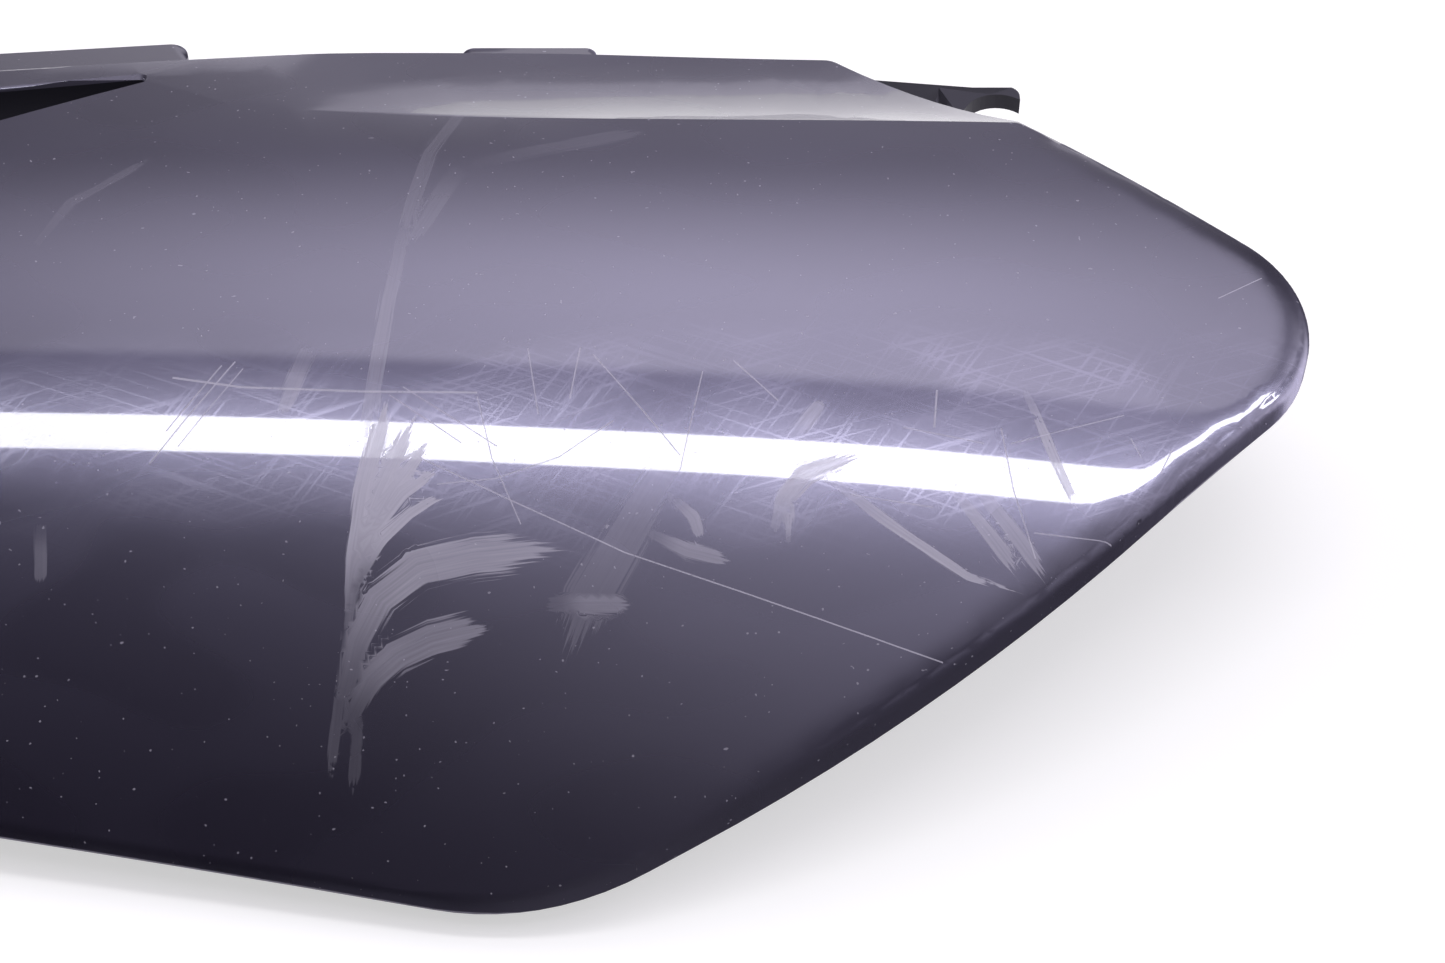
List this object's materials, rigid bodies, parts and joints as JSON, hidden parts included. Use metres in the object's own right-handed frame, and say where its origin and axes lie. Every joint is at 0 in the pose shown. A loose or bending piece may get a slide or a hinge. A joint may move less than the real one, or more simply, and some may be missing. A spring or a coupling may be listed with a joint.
{
  "type": "motorcycle side panel",
  "caption": "Curved moulded side cover for an off-road motorcycle, with a stepped seat edge, a hook ear, a seat tongue, grommet pins and a screw seat.",
  "frame": {"origin": "under the middle of the panel, on the plane that the ends of its three grommet pins stand on", "axes": "+X along the panel to its nose, the rear end on the motorcycle; +Y across it to the seat edge; +Z out of its painted face"},
  "size_m": [0.4334, 0.2454, 0.054],
  "materials": {
    "panel_plastic": "injection-moulded gloss black, scuffed and scratched from use"
  },
  "bodies": {
    "root": {"side_panel": "panel_plastic"}
  },
  "joints": []
}
